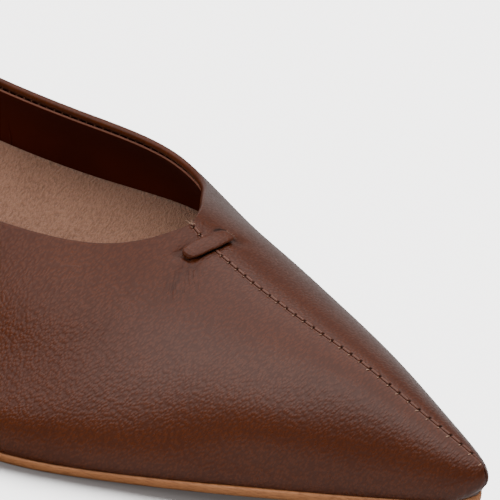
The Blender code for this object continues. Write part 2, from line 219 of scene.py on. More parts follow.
def add_object(name, data):
    """A new object in the scene."""
    made = bpy.data.objects.new(name, data)
    bpy.context.scene.collection.objects.link(made)
    return made


def make_piece(name, points, faces, finish, marks=None):
    """A smooth mesh from millimetre points, riding on the shoe, with its place in its mesh.

    marks: named values, one per point, that the finish reads.
    """
    mesh = bpy.data.meshes.new(name)
    mesh.from_pydata(place(points).tolist(), [], faces.tolist() if hasattr(faces, "tolist") else faces)
    mesh.validate()
    mesh.shade_smooth()
    for key, values in (marks or {}).items():
        layer = mesh.attributes.new(key, "FLOAT", "POINT")
        layer.data.foreach_set("value", np.asarray(values, np.float32).ravel())
    mesh.materials.append(finish)
    made = add_object(name, mesh)
    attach(made, "root")
    return made


def grid_faces(rows, columns, wrap_rows=False, wrap_columns=False, flip=False):
    """Quads over a rows x columns grid of points, row after row, wrapping round either way if asked."""
    r = np.arange(rows if wrap_rows else rows - 1)[:, None]
    c = np.arange(columns if wrap_columns else columns - 1)[None, :]
    s, d = (r + 1) % rows, (c + 1) % columns
    quads = np.stack([r * columns + c, r * columns + d, s * columns + d, s * columns + c], -1).reshape(-1, 4)
    return quads[:, ::-1] if flip else quads


def join_sides(outer, inner):
    """Two sides' grids as one ring of columns, without the inner side's copies of the first and the last."""
    return np.concatenate([outer, inner[-2:0:-1]], 0)


def merge_near(made, distance=0.004 * MM):
    """Close the poles of a grid by merging points that coincide."""
    work = bmesh.new()
    work.from_mesh(made.data)
    bmesh.ops.remove_doubles(work, verts=work.verts[:], dist=distance)
    work.to_mesh(made.data)
    work.free()
    made.data.shade_smooth()


def bump(x, width):
    """Bell curve: 1 at x = 0, falling to 1/e at the width."""
    return np.exp(-(x / width) ** 2)


def unit(v):
    """Vectors at length 1."""
    return v / np.maximum(np.linalg.norm(v, axis=-1, keepdims=True), 1e-9)


def run_along(points):
    """Distance along a path, from its first point to each of the others."""
    steps = np.linalg.norm(np.diff(points, axis=-2), axis=-1)
    return np.concatenate([np.zeros_like(steps[..., :1]), np.cumsum(steps, -1)], -1)


# ---- surface frame of the upper

def frame_at(u, v, side):
    """Point, outward normal and upward tangent of the upper's outside, for arrays u and v."""
    du, dv = 0.08, 0.004
    back = surface(np.clip(u + du, 0, KNOTS[-1]), v, side) - surface(np.clip(u - du, 0, KNOTS[-1]), v, side)
    rise = surface(u, np.clip(v + dv, 0, 1), side) - surface(u, np.clip(v - dv, 0, 1), side)
    normal = np.cross(back, rise) * side
    ends = (u <= du) | (u >= KNOTS[-1] - du)
    normal[..., 1] = np.where(ends, 0.0, normal[..., 1])
    return surface(u, v, side), unit(normal), unit(rise)


def share_at(u, side, below):
    """Share v of the cross-curve at distances below its top, measured along the curve, for each station.

    below gives the distances, a row per station, from the whole lengths of the stations' curves.
    """
    v = topline(u, side)[:, None] * np.linspace(1, 0, 241)
    run = run_along(surface(u[:, None] + 0 * v, v, side))
    wanted = below(run[:, -1])
    return np.stack([np.interp(wanted[i], run[i], v[i]) for i in range(len(u))]), wanted


def on_upper(u, side, below):
    """Points, normals and upward tangents of the upper, one per station, at distances below its top."""
    u = np.atleast_1d(np.asarray(u, float))
    v, _ = share_at(u, side, lambda total: np.asarray(below, float).reshape(-1, 1) + 0 * total[:, None])
    return [array[:, 0] for array in frame_at(u[:, None], v, side)]


def stitch_places(end):
    """Distances from the toe tip of the seam's stitches: the pitch closes up evenly towards the throat."""
    places, s = [], FIRST_STITCH
    while s < end - 0.3:
        places.append(s)
        s += STITCH_TOE + (STITCH_THROAT - STITCH_TOE) * s / end
    return np.array(places)


# Distance along the crown from the toe tip at stations up to the throat
CROWN_U = np.linspace(0, THROAT_U, 900)
CROWN_S = run_along(surface(CROWN_U, np.ones_like(CROWN_U), 1))
STITCHES = stitch_places(CROWN_S[-1])

# The bar's station, and the seam's direction there
BAR_U = float(station(BAR_AT))
_ahead = surface(station(BAR_AT + np.array([-2.0, 2.0])), np.ones(2), 1)
SEAM_DIR = unit(_ahead[0] - _ahead[1])


def bar_line(t):
    """Points of the leather under the bar's middle line: t runs from -1 at its inner end to 1 at its outer end.

    The line is the cross-curve over the crown, set a little ahead and turned by the skew.
    """
    t = np.asarray(t, float)
    v = np.linspace(0.6, 1.0, 300)
    over = np.concatenate([surface(BAR_U, v, -1), surface(BAR_U, v[::-1], 1)[1:]])
    run = run_along(over)
    where = run[len(v) - 1] + BAR_SHIFT + t * BAR_LENGTH / 2
    line = np.stack([np.interp(where, run, over[:, k]) for k in range(3)], -1)
    return line + SEAM_DIR * (0.1 + BAR_SKEW * t)[..., None]


BAR_INNER, BAR_MIDDLE, BAR_OUTER = bar_line([-1.0, 0.0, 1.0])
BAR_TIP = {-1: BAR_INNER, 1: BAR_OUTER}
BAR_DIR = unit(BAR_OUTER - BAR_INNER)


def from_bar(p, origin, along):
    """Distances of points from a point of the bar's line: along it, and across it towards the toe."""
    return (p - origin) @ along, (p - origin) @ SEAM_DIR


# ---- relief of the outer leather

# Creases at the bar's inner (-1) and outer (1) end: start and angle from the bar's line, depth, length, width
CREASES = {
    -1: ((0.3, 24, 0.07, 7.0, 0.30), (1.1, 29, 0.10, 8.5, 0.28), (1.9, 32, 0.11, 9.0, 0.28),
         (2.7, 35, 0.10, 8.5, 0.28), (3.5, 38, 0.07, 7.0, 0.30)),
    1: ((0.6, 20, 0.08, 6.0, 0.6), (-0.8, -14, 0.05, 4.5, 0.5))}

# Hollows there, and the painted shade in them: depth, place and size outwards from the end, and towards the toe
HOLLOWS = {-1: ((0.36, 1.2, 2.6, 1.7, 1.5), (0.50, -0.8, 2.2, -2.0, 0.9)), 1: ((0.34, 1.3, 1.8, 1.3, 1.5),)}
SHADES = {-1: ((0.42, -1.0, 1.7, -1.9, 0.55), (0.12, 0.9, 1.4, 2.0, 1.1)), 1: ((0.26, 1.3, 1.5, 1.3, 1.4),)}


def creases(a, b, table):
    """Troughs that run out from the bar's end, widen, waver and fade; a outwards and b towards the toe."""
    h = np.zeros_like(a)
    for start, angle, depth, length, width in table:
        t = np.radians(angle)
        along = a * np.cos(t) + (b - start) * np.sin(t)
        off = (b - start) * np.cos(t) - a * np.sin(t) + 0.16 * np.sin(along * 0.9 + angle)
        fade = smoothstep(along / 0.9) * smoothstep((length - along) / (0.7 * length))
        h += depth * bump(off, width * (0.8 + 0.07 * np.maximum(along, 0))) * fade
    return h


def hollows(a, b, table):
    """Sum of bell-shaped hollows; a outwards and b towards the toe."""
    return sum(depth * np.exp(-((a - at_a) / size_a) ** 2 - ((b - at_b) / size_b) ** 2)
               for depth, at_a, size_a, at_b, size_b in table)


def slab(x, half, power):
    """1 within the half width of x = 0 and 0 beyond, with edges that a higher power makes steeper."""
    return np.exp(-(x / half) ** power)


def seam_marks(u, below):
    """1 ahead of the throat and 0 behind it, distance to the nearest stitch, and share of the way to the toe."""
    s = np.interp(u, CROWN_U, CROWN_S)[:, None] + 0 * below
    nearest = np.min(np.abs(s[..., None] - STITCHES), axis=-1)
    return smoothstep((THROAT_U - u) / 0.5)[:, None], nearest, np.clip(1 - s / CROWN_S[-1], 0, 1)


def relief(p, u, side, below):
    """Height of the leather over the last, in millimetres.

    Seam: the outer panel's fold stands up as a ridge, cut by a notch at each stitch; the inner panel dips at
    each stitch hole. Bar: a trench under its toe side, a slit at each end, and creases that fan from them.
    """
    on_seam, nearest, toe = seam_marks(u, below)
    h = np.zeros_like(below)
    if side > 0:
        h += on_seam * (RIDGE - 0.12 * toe) * bump(below - 0.17, 0.19) * smoothstep(nearest / 0.42)
        notch = bump(nearest, 0.14 + 0.05 * toe) * smoothstep((0.40 + 0.26 * toe - below) / 0.20)
        h -= on_seam * NOTCH * notch
        # the outer panel draws in behind the front seam
        h -= 0.28 * bump(u - 1.4, 1.8)[:, None]
    else:
        h -= on_seam * 0.07 * bump(below, 0.35)
        h -= on_seam * 0.12 * bump(nearest, 0.16) * bump(below - 0.05, 0.20)
    h -= FRONT_GROOVE * bump(u, 0.34)[:, None]
    # under the bar: a trench along its toe side that fades towards the inner end, in a wider saddle
    a, b = from_bar(p, BAR_MIDDLE, BAR_DIR)
    trench = slab(a + 0.3, BAR_LENGTH / 2 - 1.1, 8) * slab(b - 1.35, 0.48, 6)
    trench *= 1 - 0.8 * smoothstep((-a - 2.2) / 3.0)
    dent = TRENCH * trench + SADDLE * bump(a, 3.6) * bump(b, 3.4)
    # at the bar's end: its slit, the hollows round it, and the creases
    out = unit(BAR_TIP[side] - bar_line(side * 0.6))
    a, b = from_bar(p, BAR_TIP[side], out)
    dent += SLIT * bump(a + 0.5, 0.5) * slab(b - 0.1 if side > 0 else b + 0.3, 1.0, 4)
    dent += hollows(a, b, HOLLOWS[side]) + creases(a, b, CREASES[side])
    h -= np.where(np.linalg.norm(p - BAR_MIDDLE, axis=-1) < DENT_REACH, dent, 0)
    # foot of the wall: it flares out to the sole's edge, and runs back under the toe to a short sole
    above = below[:, -1:] - below
    h += FOOT_FLARE * bump(above, 2.6) * smoothstep((u - 0.5) / 3.0)[:, None]
    h -= TOE_DRAW * bump(u, 3.2)[:, None] * bump(above, 2.5)
    # the inner wall is fuller low down from 46 to 122 mm behind the toe tip, and flatter round 37 mm
    if side < 0:
        back = FIELD["back"](u)
        full = smoothstep((back - 46) / 40) * (1 - smoothstep((back - 88) / 34)) - 0.5 * bump(back - 37, 11.0)
        down = below / below[:, -1:]
        h += WALL_SWELL * full[:, None] * (bump(down - 0.87, 0.12) - 0.75 * bump(down - 0.56, 0.17))
    # slow ease of the leather over the last
    x, y = p[..., 0], p[..., 1]
    h += 0.10 * np.sin(x * 0.13 + y * 0.05 + 1.0) * np.sin(y * 0.11 - x * 0.04) * smoothstep(below / 6.0)
    return h


def shading(p, u, side, below):
    """Marks for the leather's finish, each 0 to 1.

    Painted shade: full in the bar's slot and the stitch holes, slight in the hollows round the bar.
    Painted highlight along the seam's raised fold.
    Fine wrinkles under the bar's inner end, with painted shade in their troughs.
    """
    on_seam, nearest, toe = seam_marks(u, below)
    # painted shade in the slot that shows along the bar's toe side, up to an edge that follows the bar
    a, b = from_bar(p, BAR_MIDDLE, BAR_DIR)
    edge = 1.42 + 0.32 * np.clip(1 - (a / 5.4) ** 2, -0.5, 1) - 0.55 * smoothstep((-a - 2.0) / 3.4)
    dark = (slab(a + 0.35, BAR_LENGTH / 2 - 0.85, 14) * smoothstep((edge - b) / 0.22)
            * smoothstep((b - 0.1) / 0.3))
    a, b = from_bar(p, BAR_TIP[side], BAR_DIR * side)
    # painted shade in the hollows round the bar's end
    dark += hollows(a, b, SHADES[side])
    if side > 0:
        # painted shade in the cut round the end, and a painted shade line that runs from it along the bar's heel
        # side
        dark += 0.90 * bump(a - 0.66 - 0.28 * (b - 0.25), 0.26) * slab(b + 0.15, 1.25, 8)
        shade_line = smoothstep((a + 2.4) / 0.9) * smoothstep((1.3 - a) / 0.5)
        dark += 0.95 * shade_line * bump(b + 2.15 - 0.8 * smoothstep((a + 0.4) / 1.6), 0.30)
        # painted shade in the stitch holes
        hole_shade = 0.90 * bump(nearest, 0.13 + 0.03 * toe) * smoothstep((0.46 + 0.22 * toe - below) / 0.16)
        # painted highlight on the outer panel's raised fold
        ridge = (1 - 0.6 * toe) * bump(below - 0.22, 0.17) * smoothstep(nearest / 0.42)
        worn = np.zeros_like(a)
    else:
        # painted shade in the cut round the inner end, and in the stitch holes
        dark += 0.40 * bump(a + 0.10 + 0.28 * (b - 0.25), 0.26) * slab(b + 0.50, 1.25, 8)
        hole_shade = 0.60 * bump(nearest, 0.11) * bump(below - 0.03, 0.10)
        # painted highlight on the inner panel's folded edge
        ridge = 0.45 * bump(below - 0.10, 0.08)
        # where the fine wrinkles lie; they also carry painted shade in their troughs
        worn = bump(a - 3.6, 3.4) * bump(b - 3.6, 2.6)
    near = np.linalg.norm(p - BAR_MIDDLE, axis=-1) < SHADE_REACH
    slit = np.where(near, dark, 0.0) + on_seam * hole_shade
    return {"slit": np.clip(slit, 0, 1), "ridge": on_seam * ridge, "worn": np.where(near, worn, 0.0)}


# ---- large pieces

def column_stations():
    """Stations for the fine grids: close at the toe's front seam and at every stitch, easy behind."""
    first = np.array([0.0, 0.08, 0.16, 0.24, 0.34, 0.46, 0.62])
    offsets = np.array([0.0, 0.07, 0.14, 0.24, 0.38, 0.58, 0.82])
    s = np.concatenate([STITCHES[:, None] + offsets, STITCHES[:, None] - offsets[1:]], 1).ravel()
    s = np.sort(s[(s > 0.75) & (s < CROWN_S[-1] - 0.1)])
    s = s[np.concatenate([[True], np.diff(s) > 0.03])]
    seam = np.interp(s, CROWN_S, CROWN_U)
    seam = seam[(seam > 0.7) & (seam < THROAT_U - 0.08)]
    bend = THROAT_U + np.concatenate([[0.0], np.cumsum(np.linspace(0.12, 0.9, 24))])
    rest = np.linspace(bend[-1], KNOTS[-1], 128)[1:]
    return np.concatenate([first, seam, bend, rest])


# Where the outer leather's columns have points: distances below the fold, close at the seam and at the bar's
# ends, and then shares of the rest of the wall
FINE_ROWS = np.concatenate([[0.0, 0.07, 0.14, 0.22, 0.30, 0.38, 0.46, 0.55, 0.66, 0.8], np.linspace(1.0, 3.4, 11),
                            [3.95, 4.45, 4.85, 5.15, 5.4, 5.6, 5.8, 6.0, 6.25, 6.6, 7.0, 7.5, 8.05, 8.65, 9.3,
                             10.0, 10.8, 11.6, 12.5, 13.5, 14.5]])
WALL_ROWS = np.concatenate([np.linspace(0, 0.965, 23)[1:], [0.985, 0.996, 1.0]])
FOLD_ROWS = 8

# The leather's turn under the foot: (distance in from the feather, height over it)
TUCK = ((0.04, 0.03), (0.8, 0.06), (3.0, 0.06))


def build_outer(leather):
    """Outer leather in one sheet from seam to seam: folded edge, seam edge, wall, and its turn under the foot.

    Each station's column runs from inside the folded edge, round the fold (a circle of the edge's radius),
    down the cross-curve displaced by the relief, and under the feather.
    """
    u = column_stations()
    collar = smoothstep((u - THROAT_U + 0.2) / 3.2)     # 0 along the seam, 1 round the foot's opening
    # the fold's radius and angle, its tail's length, and how far below the crown or topline the wall starts
    radius = SEAM_ROLL + (LEATHER_T - SEAM_ROLL) * collar
    turn = np.radians(92 + 88 * collar)
    tail = 0.7 + 1.6 * collar
    top = (radius + SEAM_OPEN * smoothstep((THROAT_U - u) / 0.4) * (0.6 + 0.4 * u / THROAT_U))[:, None]

    def below(total):
        first = top + FINE_ROWS * np.minimum(1.0, 0.6 * total / FINE_ROWS[-1])[:, None]
        return np.concatenate([first, first[:, -1:] + (total[:, None] - first[:, -1:]) * WALL_ROWS], 1)
    sheets, marks = [], []
    for side in (1, -1):
        v, down = share_at(u, side, below)
        p, normal, rise = frame_at(u[:, None] + 0 * v, v, side)
        body = p + normal * relief(p, u, side, down - top)[..., None]
        # the fold: a circle about a centre one radius inside the first point of the wall
        normal, rise = normal[:, :1], rise[:, :1]
        angles = (turn[:, None] * np.linspace(1, 0, FOLD_ROWS + 1)[:-1])[..., None]
        r = radius[:, None, None]
        fold = body[:, :1] - normal * r + r * (normal * np.cos(angles) + rise * np.sin(angles))
        # its tail, which runs back inside from the fold and sinks into the wall's thickness
        heading = rise * np.cos(turn)[:, None, None] - normal * np.sin(turn)[:, None, None]
        tails = fold[:, :1] + heading * (tail[:, None] * (1.0, 0.45, 0.33))[..., None]
        tails += normal * (0.45 * collar[:, None] * (1.0, 1.0, 0.0))[..., None]
        # under the foot
        _, out = feather(u, side)
        level = feather_z(FIELD["back"](u))
        tuck = [np.column_stack([body[:, -1, :2] - out * inwards, level + over]) for inwards, over in TUCK]
        sheets.append(np.concatenate([tails, fold, body, np.stack(tuck, 1)], 1))
        rows = (tails.shape[1] + FOLD_ROWS, len(TUCK))
        marks.append({key: np.pad(value, ((0, 0), rows), mode="edge")
                      for key, value in shading(p, u, side, down - top).items()})
    ring = join_sides(*sheets)
    marks = {key: join_sides(marks[0][key], marks[1][key]) for key in marks[0]}
    faces = grid_faces(*ring.shape[:2], wrap_rows=True, flip=True)
    return make_piece("upper_leather", ring.reshape(-1, 3), faces, leather, marks=marks)


# The lining's cut edge: (distance below its top, set in from the outside, 1 where the raw fibres show)
LINING_EDGE = ((0.0, 1.50, 0.0), (0.0, 1.56, 1.0), (0.0, 1.80, 1.0), (0.08, 1.95, 0.0), (0.3, 2.0, 0.0),
               (0.8, 2.0, 0.0))


def build_lining(finish):
    """Lining: from its raw edge under the folded topline, down the inside wall to the insole.

    Points follow the upper's own cross-curve, set in by the fold and the lining's thickness.
    """
    u = np.concatenate([np.linspace(6.0, THROAT_U - 1, 60),
                        THROAT_U + np.cumsum(np.linspace(0.05, 0.9, 34)) - 0.6,
                        np.linspace(THROAT_U + 16, KNOTS[-1], 170)])
    drop = LINING_DROP * smoothstep((u - THROAT_U + 1.0) / 2.0)
    downs, insets, raws = np.array(LINING_EDGE).T

    def below(total):
        first = drop[:, None] + downs
        rest = (total[:, None] - first[:, -1:]) * np.linspace(0, 1, 34)[1:]
        return np.concatenate([first, first[:, -1:] + rest], 1)
    sheets = []
    for side in (1, -1):
        v, _ = share_at(u, side, below)
        p, normal, rise = frame_at(u[:, None] + 0 * v, v, side)
        inset = np.full(v.shape, LINING_IN)
        inset[:, :len(insets)] = insets
        q = p - normal * inset[..., None]
        q[:, 0] -= rise[:, 0] * 0.25        # the cut edge's back turns down beside the fold
        floor = feather_z(FIELD["back"](u)) + MARGIN_T
        q[..., 2] = np.maximum(q[..., 2], floor[:, None])
        sheets.append(q)
    ring = np.concatenate([sheets[0], sheets[1][-2::-1]], 0)
    raw = np.zeros(ring.shape[:2])
    raw[:, :len(raws)] = raws
    return make_piece("lining", ring.reshape(-1, 3), grid_faces(*ring.shape[:2]), finish, marks={"raw_edge": raw})


def spine_point(back):
    """Middle line that the plates' sections run in to, kept away from toe tip and heel back."""
    inside = 24.0 + back * (LENGTH - 48.0) / LENGTH
    u = station(inside)
    return np.stack([-inside, (FIELD["lateral"](u) - FIELD["medial"](u)) / 2], -1)


def plate(name, edge_line, bottom, top, profile, finish, across=26):
    """Plate on the feather line, between two heights given by the distance behind the toe tip.

    edge_line: the outer edge in plan, from u and side. profile: (inset from the edge, share of the thickness)
    round the edge. Each section runs from the spine out along the bottom, round the profile and back on top.
    """
    u = np.concatenate([np.linspace(0, 6, 22), np.linspace(6, KNOTS[-1] - 30, 300)[1:],
                        np.linspace(KNOTS[-1] - 30, KNOTS[-1], 60)[1:]])
    middle = spine_point(FIELD["back"](u))
    inset, share = np.array(profile).T
    out = np.linspace(1, 0, across)[:-1]
    share = np.concatenate([np.zeros(len(out)), share, np.ones(len(out))])
    sheets = []
    for side in (1, -1):
        edge = edge_line(u, side)
        inward = unit(middle - edge)[:, None]
        span = np.linalg.norm(middle - edge, axis=1)[:, None]
        distance = np.concatenate([inset[0] + (span - inset[0]) * out, inset + 0 * span,
                                   inset[-1] + (span - inset[-1]) * out[::-1]], 1)
        plan = edge[:, None] + inward * distance[..., None]
        z = bottom(-plan[..., 0]) * (1 - share) + top(-plan[..., 0]) * share
        sheets.append(np.concatenate([plan, z[..., None]], -1))
    ring = join_sides(*sheets)
    faces = grid_faces(*ring.shape[:2], wrap_rows=True, flip=True)
    made = make_piece(name, ring.reshape(-1, 3), faces, finish)
    merge_near(made)
    return made


def sole_top(behind):
    """Height of the outsole's upper face."""
    return sole_rise(behind) + OUTSOLE_T


def sole_edge(u, side):
    """Sole's outline: a lip outside the feather line, set back round the toe's point."""
    foot, out = feather(u, side)
    return foot - out * (TIP_BACK * bump(u, 5.0) - SOLE_LIP)[:, None]


def build_sole(finish):
    """Outsole: one plate with a small radius under its edge and a larger one over it."""
    edge = ((0.40, 0.0), (0.14, 0.05), (0.03, 0.15), (0.0, 0.35), (0.0, 0.68), (0.08, 0.86), (0.26, 0.96),
            (0.60, 1.0))
    return plate("sole", sole_edge, sole_rise, sole_top, edge, finish)


def sock_bottom(behind):
    """Height of the sock's underside, a gap over the lasting margin."""
    return feather_z(behind) + MARGIN_T + GAP


def sock_top(behind):
    """Height of the suede: the board's thickness, and a swell under the toes."""
    return sock_bottom(behind) + INSOLE_T + SOCK_RISE * smoothstep((122 - behind) / 34)


def sock_edge(u, side):
    """Sock's outline: in from the feather line, square to it, by the wall and a little more."""
    foot, out = feather(u, side)
    inward = unit(spine_point(FIELD["back"](u)) - foot)
    lean = np.maximum(-(inward * out).sum(1, keepdims=True), 0.4)
    return foot + inward * (WALL + 0.15) / lean


def build_sock(finish):
    """Suede sock on its board: one plate with soft edges."""
    edge = ((0.5, 0.0), (0.0, 0.3), (0.0, 0.6), (0.15, 0.85), (0.5, 1.0))
    return plate("suede_sock", sock_edge, sock_bottom, sock_top, edge, finish)


# ---- small pieces

def tube(path, radius, around=10, power=1.0, up=(0, 0, 1)):
    """Points and faces of a closed tube along a path (m x 3). radius: per point, or (wide, high) per point.

    The section is a superellipse: cos and sin of the angle, each to the given power.
    """
    along = unit(np.gradient(path, axis=0))
    wide = unit(np.cross(along, np.asarray(up, float) + 0 * path))
    high = unit(np.cross(wide, along))
    angle = 2 * np.pi * (np.arange(around) + 0.5) / around
    c, s = (np.sign(x) * np.abs(x) ** power for x in (np.cos(angle), np.sin(angle)))
    r = np.asarray(radius, float).reshape(len(path), -1)
    body = (path[:, None] + wide[:, None] * c[None, :, None] * r[:, :1, None]
            + high[:, None] * s[None, :, None] * r[:, -1:, None])
    points = body.reshape(-1, 3)
    faces = grid_faces(len(path), around, wrap_columns=True, flip=True).tolist()
    faces += [list(range(around)), list(range(len(points) - around, len(points)))[::-1]]
    return points, faces


def join_tubes(name, tubes, finish):
    """Many short tubes as one piece."""
    points, faces, start = [], [], 0
    for p, f in tubes:
        points.append(p)
        faces += [[i + start for i in face] for face in f]
        start += len(p)
    return make_piece(name, np.concatenate(points), faces, finish)


def build_bar(leather):
    """Keeper bar: a padded strip laid over the seam, its ends turned down into two slits.

    Line: halfway from the leather's own curve to its chord. Height over that: a low arch, that falls by a smooth
    step at each end. Width: full in the middle, narrower by the square of the way out. Section: superellipse.
    """
    t = np.concatenate([np.linspace(-1, -0.74, 18), np.linspace(-0.74, 0.74, 34)[1:-1], np.linspace(0.74, 1, 18)])
    on = bar_line(t * 0.96)
    chord = on[:1] + (on[-1:] - on[:1]) * ((t + 1) / 2)[:, None]
    on = on + (chord - on) * 0.52
    step = unit(bar_line(t + 0.05) - bar_line(t - 0.05))
    up = unit(np.cross(SEAM_DIR, step))
    up *= np.sign(up[:, 2:])
    end = smoothstep((np.abs(t) - 0.84) / 0.16)
    tip = np.clip((np.abs(t) - 0.80) / 0.20, 0, 1)
    lift = -0.02 + BAR_THICK / 2 + 0.12 * (1 - t ** 2) - 0.80 * end ** 2
    forward = 0.18 - 0.50 * np.maximum(-t, 0.0)
    path = on + SEAM_DIR * forward[:, None] + up * lift[:, None]
    wide = (BAR_WIDTH / 2 + 0.24) * (1 - 0.24 * t ** 2) * np.sqrt(1 - 0.80 * tip ** 2)
    wide = wide * (1 + 0.02 * np.sin(t * 9 + 1))
    wrinkle = 0.045 * np.sin(t * 46) * bump(t + 0.86, 0.13) + 0.02 * np.sin(t * 33 + 1) * bump(t - 0.88, 0.10)
    high = BAR_THICK / 2 * 0.66 * (1 - 0.25 * end) + wrinkle
    around = 40
    points, faces = tube(path, np.stack([wide, high], -1), around=around, power=0.86, up=up)
    # the ends are cut square to the seam, so the strip shears along itself
    points += step.mean(0) * (0.28 * ((points - np.repeat(path, around, 0)) @ SEAM_DIR))[:, None]
    return make_piece("keeper_strip", points, faces, leather)


# Loose fibres at the throat: (angle in plan, length)
THROAT_FIBRES = ((10, 0.9), (50, 0.7), (95, 0.8), (140, 1.0), (170, 1.3), (205, 0.9), (330, 0.5))


def build_stitches(thread):
    """Thread that shows on the inner side of the seam at every stitch, and a few loose fibres.

    Each is a short bead leaning back from the gap, longer towards the toe. Fibres stand at the throat and round
    the bar's outer end.
    """
    tubes = []
    t = np.linspace(0, 1, 7)
    swell = np.sin(np.pi * t)
    for k, s in enumerate(STITCHES):
        if abs(FIELD["back"](np.interp(s, CROWN_S, CROWN_U)) - BAR_AT) < BAR_WIDTH / 2 + 0.4:
            continue        # under the bar
        toe = 1 - s / CROWN_S[-1]
        wobble = np.sin(k * 2.4 + 0.7)
        length = 0.19 + 0.35 * toe * (1 + 0.7 * wobble)
        lean = (0.05 + 0.25 * toe) * (1 + 0.5 * wobble)
        p, n, _ = on_upper(np.interp(s + lean * t - 0.04, CROWN_S, CROWN_U), -1, 0.12 + length * t)
        radius = 0.056 + (0.038 + 0.016 * toe) * swell
        tubes.append(tube(p + n * (-0.03 + 0.05 * swell)[:, None], radius, around=6, up=n))
    throat = on_upper(THROAT_U - 0.35, -1, 0.05)[0][0]
    loose = [(throat, angle, reach) for angle, reach in THROAT_FIBRES]
    loose += [(BAR_OUTER + (0, 0.28, 0) + SEAM_DIR * (0.9 - 0.40 * k), 20 + 35 * k, 0.60 - 0.04 * k)
              for k in range(5)]
    for k, (root, angle, reach) in enumerate(loose):
        way = np.array([np.cos(np.radians(angle)), np.sin(np.radians(angle)), 0.25])
        curl = np.array([-way[1], way[0], 0.0]) * 0.25 * reach * (-1) ** k
        path = root + way * (reach * t)[:, None] + curl * (t * t)[:, None] + (0, 0, 0.12)
        path[:, 2] += 0.16 * swell
        tubes.append(tube(path, np.full(len(t), FIBRE), around=5))
    return join_tubes("seam_thread", tubes, thread)


def build_ticks(thread, pitch=1.75):
    """Thread ticks across the groove between the folded topline and the lining's raw edge."""
    tubes = []
    t = np.linspace(0, 1, 5)
    u = np.linspace(THROAT_U + 2.5, KNOTS[-1], 3000)[::30]
    for side in (1, -1):
        run = run_along(on_upper(u, side, np.zeros(len(u)))[0])
        for k, at in enumerate(np.interp(np.arange(0.8, run[-1] - 0.5, pitch), run, u)):
            p, n, _ = on_upper(at + 0.25 * t, side, LINING_DROP - 0.55 + 0.75 * t)
            depth = 1.36 + 0.34 * t + 0.03 * np.sin(k * 1.7)
            tubes.append(tube(p - n * depth[:, None], np.full(len(t), TICK), around=5, up=n))
    return join_tubes("topline_thread", tubes, thread)


def build_lining_join(finish):
    """Short upright lap of the lining on the outer side's inside wall, low down, 70 mm behind the throat."""
    v = np.linspace(0.05, 0.19, 14)
    p, normal, _ = frame_at(station(THROAT + 70.0) + 0 * v, v, 1)
    radius = 0.20 * smoothstep((v[-1] - v) / 0.12) + 0.02
    points, faces = tube(p - normal * LINING_IN, radius, around=8, up=normal)
    return make_piece("lining_join", points, faces, finish)


# ---- materials

class Signal:
    """A node's output, with arithmetic on values adding Math nodes."""

    def __init__(self, nodes, socket):
        self.nodes, self.socket = nodes, socket

    def _math(self, operation, a, b):
        return self.nodes.node("ShaderNodeMath", {"operation": operation}, {0: a, 1: b})

    def __add__(self, other):
        return self._math("ADD", self, other)

    def __rsub__(self, other):
        return self._math("SUBTRACT", other, self)

    def __mul__(self, other):
        return self._math("MULTIPLY", self, other)

    __radd__, __rmul__ = __add__, __mul__


class Nodes:
    """A node tree: node() adds any node from its type, settings and socket values or links.

    The setting "levels" holds the points of a float curve.
    """

    def __init__(self, tree):
        self.tree = tree

    def node(self, kind, settings=None, inputs=None, output=0):
        made = self.tree.nodes.new(kind)
        for key, value in (settings or {}).items():
            if key == "levels":
                points = made.mapping.curves[0].points
                while len(points) < len(value):
                    points.new(0.5, 0.5)
                for point, level in zip(points, value):
                    point.location = level
                made.mapping.update()
            else:
                setattr(made, key, value)
        for key, value in (inputs or {}).items():
            self.join(value, made.inputs[key])
        return Signal(self, made.outputs[output])

    def join(self, value, socket):
        """Link a signal to a socket, or set a value on it; a colour may leave out its alpha."""
        if isinstance(value, Signal):
            self.tree.links.new(value.socket, socket)
        else:
            socket.default_value = (*value, 1.0) if socket.type == "RGBA" else value


class Finish(Nodes):
    """One material, with the nodes that its pattern is made of."""

    def __init__(self, name, **constants):
        self.material = bpy.data.materials.new(name)
        self.material.use_nodes = True
        super().__init__(self.material.node_tree)
        self.shader = self.tree.nodes["Principled BSDF"]
        self.set(**constants)

    def set(self, **inputs):
        for key, value in inputs.items():
            self.join(value, self.shader.inputs[key.replace("_", " ")])
        return self.material

    def place(self, scale=(1.0, 1.0, 1.0), turn=0.0, lean=0.0):
        """Object coordinates in millimetres, leant back and turned, and then scaled along the new axes."""
        here = self.node("ShaderNodeTexCoord", output="Object")
        return self.node("ShaderNodeMapping", {"vector_type": "TEXTURE"}, {
            "Vector": here, "Rotation": (0.0, lean, turn), "Scale": tuple(MM / s for s in scale)})

    def along(self, axis):
        """Millimetres from the middle of the shoe along one axis: X to the toe, Y to the outer side."""
        return self.node("ShaderNodeSeparateXYZ", inputs={0: self.place()}, output=axis)

    def mark(self, name):
        return self.node("ShaderNodeAttribute", {"attribute_name": name}, output="Fac")

    def noise(self, where, scale, detail=2.0, rough=0.5):
        return self.node("ShaderNodeTexNoise", inputs={"Vector": where, "Scale": scale, "Detail": detail,
                                                       "Roughness": rough})

    def mix(self, factor, a, b):
        return self.node("ShaderNodeMix", {"data_type": "RGBA"}, {0: factor, 6: a, 7: b}, output=2)

    def ramp(self, value, low, high):
        """0 to 1 as a value goes from low to high, with a soft start and end."""
        return self.node("ShaderNodeMapRange", {"interpolation_type": "SMOOTHSTEP"},
                         {"Value": value, "From Min": low, "From Max": high})

    def bump(self, height, distance, under=None):
        sockets = {"Height": height, "Distance": distance * MM, "Strength": 1.0}
        if under is not None:
            sockets["Normal"] = under
        return self.node("ShaderNodeBump", inputs=sockets)


